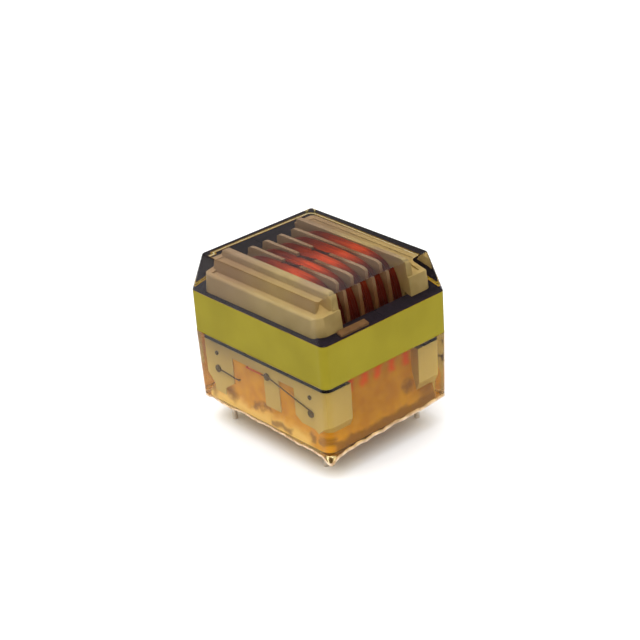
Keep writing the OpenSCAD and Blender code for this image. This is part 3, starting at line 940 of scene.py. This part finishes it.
def crossing_mesh(s):
    """The wires that cross from chamber to chamber through the notches in the partitions' top edges."""
    bm = bmesh.new()
    rng = random.Random(s.seed)
    steps = 16
    for near, far in zip(WINDINGS[:CROSSINGS], WINDINGS[1:]):
        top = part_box(near)[1]
        middle = (top.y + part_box(far)[0].y) / 2
        for strand in (-1, 0, 1):
            reach = rng.uniform(1.7, 2.05) * MM
            drop = rng.uniform(0.15, 0.45) * MM
            path = []
            for k in range(steps + 1):
                t = k / steps
                side = strand * CROSSING_GAP * math.sin(math.pi * t)
                y = middle + side + 4 * (t - 0.5) ** 3 * CROSSING_WIDTH
                path.append(Vector(((2 * t - 1) * reach, y, top.z - drop)))
            sweep(bm, path, s.wire / 2, 8)
    return new_mesh("crossing_wires", bm, 40)


def enamel_material(s):
    """Red enamel on copper, mottled along the turns, with a painted highlight across the tops and painted
    shade darkening the ends and down the sides.
    """
    grain = {"Fine_Depth": 0.000002, "Wave_Depth": 0.000004}
    material = dull_material("Enamelled Copper", s.enamel, s.enamel_shade, 520.0, grain,
                             stretch=(0.28, 2.2, 0.28), Roughness=0.35, Metallic=0.75, Specular_IOR_Level=0.3)
    coat_over(
        material,
        # Painted highlight where the tops catch the light
        (s.bright, zone(material, (3.6, 0, 27), (0.3, 20, 2), 3.6, 4.0, 0.4)),
        # Painted shade at the windings' left ends and down their right sides
        (s.winding_shade, zone(material, (-11, 0, 24), (4.0, 20, 6), 9.0, 3.0, 0.92)),
        (s.winding_shade, zone(material, (12.5, 0, 22), (2.2, 20, 6), 4.0, 2.0)),
    )
    return material


def lead_material(s):
    """Enamelled lead wire: red where it leaves the winding, dark round the pegs and beyond."""
    material = new_material("Lead Wire", Base_Color=rgba(s.dark), Roughness=0.45, Metallic=0.3,
                            Specular_IOR_Level=0.3)[0]
    low, high = box_mm("start_lead_b")
    for side in (1, -1):
        middle = (side * (low.x + 2), side * (low.y + 2.5), high.z)
        coat_over(material, (s.enamel, zone(material, middle, (2.0, 4, 1), 0.5)))
    return material


class XFMR_OT_windings(bpy.types.Operator):
    """Winds the coils in their chambers"""
    bl_idname = "xfmr.windings"
    bl_label = "Wind Coils"

    def execute(self, context):
        s = context.scene.xfmr_wire
        enamel = enamel_material(s)
        for i, node in enumerate(WINDINGS):
            add_piece(node + "_turns", winding_mesh(node, s, s.seed + i), "enamelled_wire", enamel, node)
        lead = lead_material(s)
        # Painted shadow: the crossing wires are near black, standing for the dark crease in the notches
        # between the windings
        crossing = dull_material("Crossing Wire", scaled(s.winding_shade, 0.3), scaled(s.winding_shade, 0.15), 500.0, {},
                                 Roughness=0.5, Specular_IOR_Level=0.2)
        add_piece("crossing_wires", crossing_mesh(s), "enamelled_wire", crossing)
        for node in LEADS:
            paint_node(node, lead)
        return {"FINISHED"}


# ---- Metal ---------------------------------------------------------------------------------------

def pin_material(s):
    """Tinned metal, bright below the board face and with stain inside the resin."""
    material, shader, link = new_material("Tinned Brass", Roughness=0.4, Metallic=0.9)
    mottle = group_in(material, mottle_group, Colour_A=rgba(s.tin), Colour_B=rgba(s.tin_shade), Scale=800.0)
    relief = group_in(material, grain_group, Fine_Scale=3000.0, Fine_Depth=0.000005)
    link(mottle.outputs["Colour"], shader.inputs["Base Color"])
    coat_over(material, (s.stain, height_range(material, 0.0, 0.4 * MM)))
    link(relief.outputs["Normal"], shader.inputs["Normal"])
    return material


class XFMR_OT_pins(bpy.types.Operator):
    """Sets the tinned pins and tie pegs"""
    bl_idname = "xfmr.pins"
    bl_label = "Set Pins"

    def execute(self, context):
        s = context.scene.xfmr_metal
        tin = pin_material(s)
        for prefix, nodes, width in (("board_", PINS, 0.22 * MM), ("pressed_", PEGS, 0.15 * MM)):
            for node in nodes:
                add_piece(prefix + node, rounded_copy(node, width, segments=3), "tinned", tin, node)
        return {"FINISHED"}


# ---- Stage ---------------------------------------------------------------------------------------

def area_light(name, place, target, size, power):
    """A rectangular lamp that faces a point."""
    data = bpy.data.lights.new(name, "AREA")
    data.shape = "RECTANGLE"
    data.size = size[0]
    data.size_y = size[1]
    data.energy = power
    lamp = bpy.data.objects.new(name, data)
    bpy.context.scene.collection.objects.link(lamp)
    lamp.location = place
    lamp.rotation_euler = (Vector(target) - Vector(place)).to_track_quat("-Z", "Y").to_euler()


class XFMR_OT_stage(bpy.types.Operator):
    """Lays the floor and sets the camera and the lights"""
    bl_idname = "xfmr.stage"
    bl_label = "Set Stage"

    def execute(self, context):
        scene = context.scene
        s = scene.xfmr_stage
        floor_z = min(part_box(node)[0].z for node in PINS)
        bm = bmesh.new()
        bmesh.ops.create_grid(bm, x_segments=2, y_segments=2, size=3.0)
        bmesh.ops.translate(bm, verts=bm.verts, vec=(0, 0, floor_z))
        floor_mesh = new_mesh("floor", bm)
        floor = bpy.data.objects.new("floor", floor_mesh)
        scene.collection.objects.link(floor)
        grain = {"Fine_Depth": 0.0, "Wave_Depth": 0.0}
        paper = dull_material("Paper", s.floor, scaled(s.floor, 0.98), 8.0, grain,
                              Roughness=0.9, Specular_IOR_Level=0.1)
        floor_mesh.materials.append(paper)

        # The camera's axes: back from the block, to the right and up
        flat = math.cos(s.elevation)
        back = Vector((math.sin(s.azimuth) * flat, -math.cos(s.azimuth) * flat, math.sin(s.elevation)))
        level = Vector((math.cos(s.azimuth), math.sin(s.azimuth), 0))
        upward = back.cross(level)
        right = level * math.cos(s.roll) + upward * math.sin(s.roll)
        up = upward * math.cos(s.roll) - level * math.sin(s.roll)
        place = back * s.distance + level * s.aside + upward * s.above
        data = bpy.data.cameras.new("camera")
        data.lens = s.lens
        data.sensor_width = 36.0
        data.clip_start = 0.01
        data.clip_end = 20.0
        camera = bpy.data.objects.new("camera", data)
        scene.collection.objects.link(camera)
        turned = Matrix((right, up, back)).transposed().to_4x4()
        camera.matrix_world = Matrix.Translation(place) @ turned
        scene.camera = camera

        # Light from all round, stronger from overhead
        world = bpy.data.worlds.new("soft_light")
        world.use_nodes = True
        nodes = world.node_tree.nodes
        link = world.node_tree.links.new
        nodes["Background"].inputs["Color"].default_value = (1.0, 1.0, 1.0, 1.0)
        towards = nodes.new("ShaderNodeTexCoord")
        split = nodes.new("ShaderNodeSeparateXYZ")
        rise = nodes.new("ShaderNodeMapRange")
        rise.inputs["From Min"].default_value = 0.45
        rise.inputs["From Max"].default_value = 0.8
        rise.inputs["To Min"].default_value = s.horizon
        rise.inputs["To Max"].default_value = s.sky
        link(towards.outputs["Generated"], split.inputs["Vector"])
        link(split.outputs["Z"], rise.inputs["Value"])
        link(rise.outputs["Result"], nodes["Background"].inputs["Strength"])
        scene.world = world
        scene.view_settings.view_transform = "Standard"
        middle = (0, 0, 0.014)
        area_light("soft_box", (-0.05, -0.10, 0.45), middle, (0.35, 0.35), s.key)
        area_light("side_box", (0.38, -0.16, 0.16), middle, (0.2, 0.2), s.fill)
        return {"FINISHED"}


# ---- Panel and registration ----------------------------------------------------------------------

OPERATORS = (
    XFMR_OT_resin, XFMR_OT_cloud, XFMR_OT_core, XFMR_OT_former,
    XFMR_OT_windings, XFMR_OT_pins, XFMR_OT_stage,
)


class XFMR_PT_panel(bpy.types.Panel):
    """Every setting, and a button for every operator"""
    bl_idname = "XFMR_PT_panel"
    bl_label = "Potted Transformer"
    bl_space_type = "VIEW_3D"
    bl_region_type = "UI"
    bl_category = "Transformer"

    def draw(self, context):
        for name in SETTINGS:
            box = self.layout.box()
            group = getattr(context.scene, name)
            for key in type(group).__annotations__:
                box.prop(group, key)
        for operator in OPERATORS:
            self.layout.operator(operator.bl_idname)


CLASSES = (*SETTINGS.values(), *OPERATORS, XFMR_PT_panel)


def register():
    """Registers the classes and gives the scene its settings."""
    for cls in CLASSES:
        bpy.utils.register_class(cls)
    for name, cls in SETTINGS.items():
        setattr(bpy.types.Scene, name, PointerProperty(type=cls))


def unregister():
    """Takes the settings and the classes away again."""
    for name in SETTINGS:
        delattr(bpy.types.Scene, name)
    for cls in reversed(CLASSES):
        bpy.utils.unregister_class(cls)


def main():
    """Dresses the frame."""
    register()
    bpy.ops.xfmr.stage()
    bpy.ops.xfmr.core()
    bpy.ops.xfmr.former()
    bpy.ops.xfmr.windings()
    bpy.ops.xfmr.pins()
    bpy.ops.xfmr.cloud()
    bpy.ops.xfmr.resin()


if __name__ == "__main__":
    main()
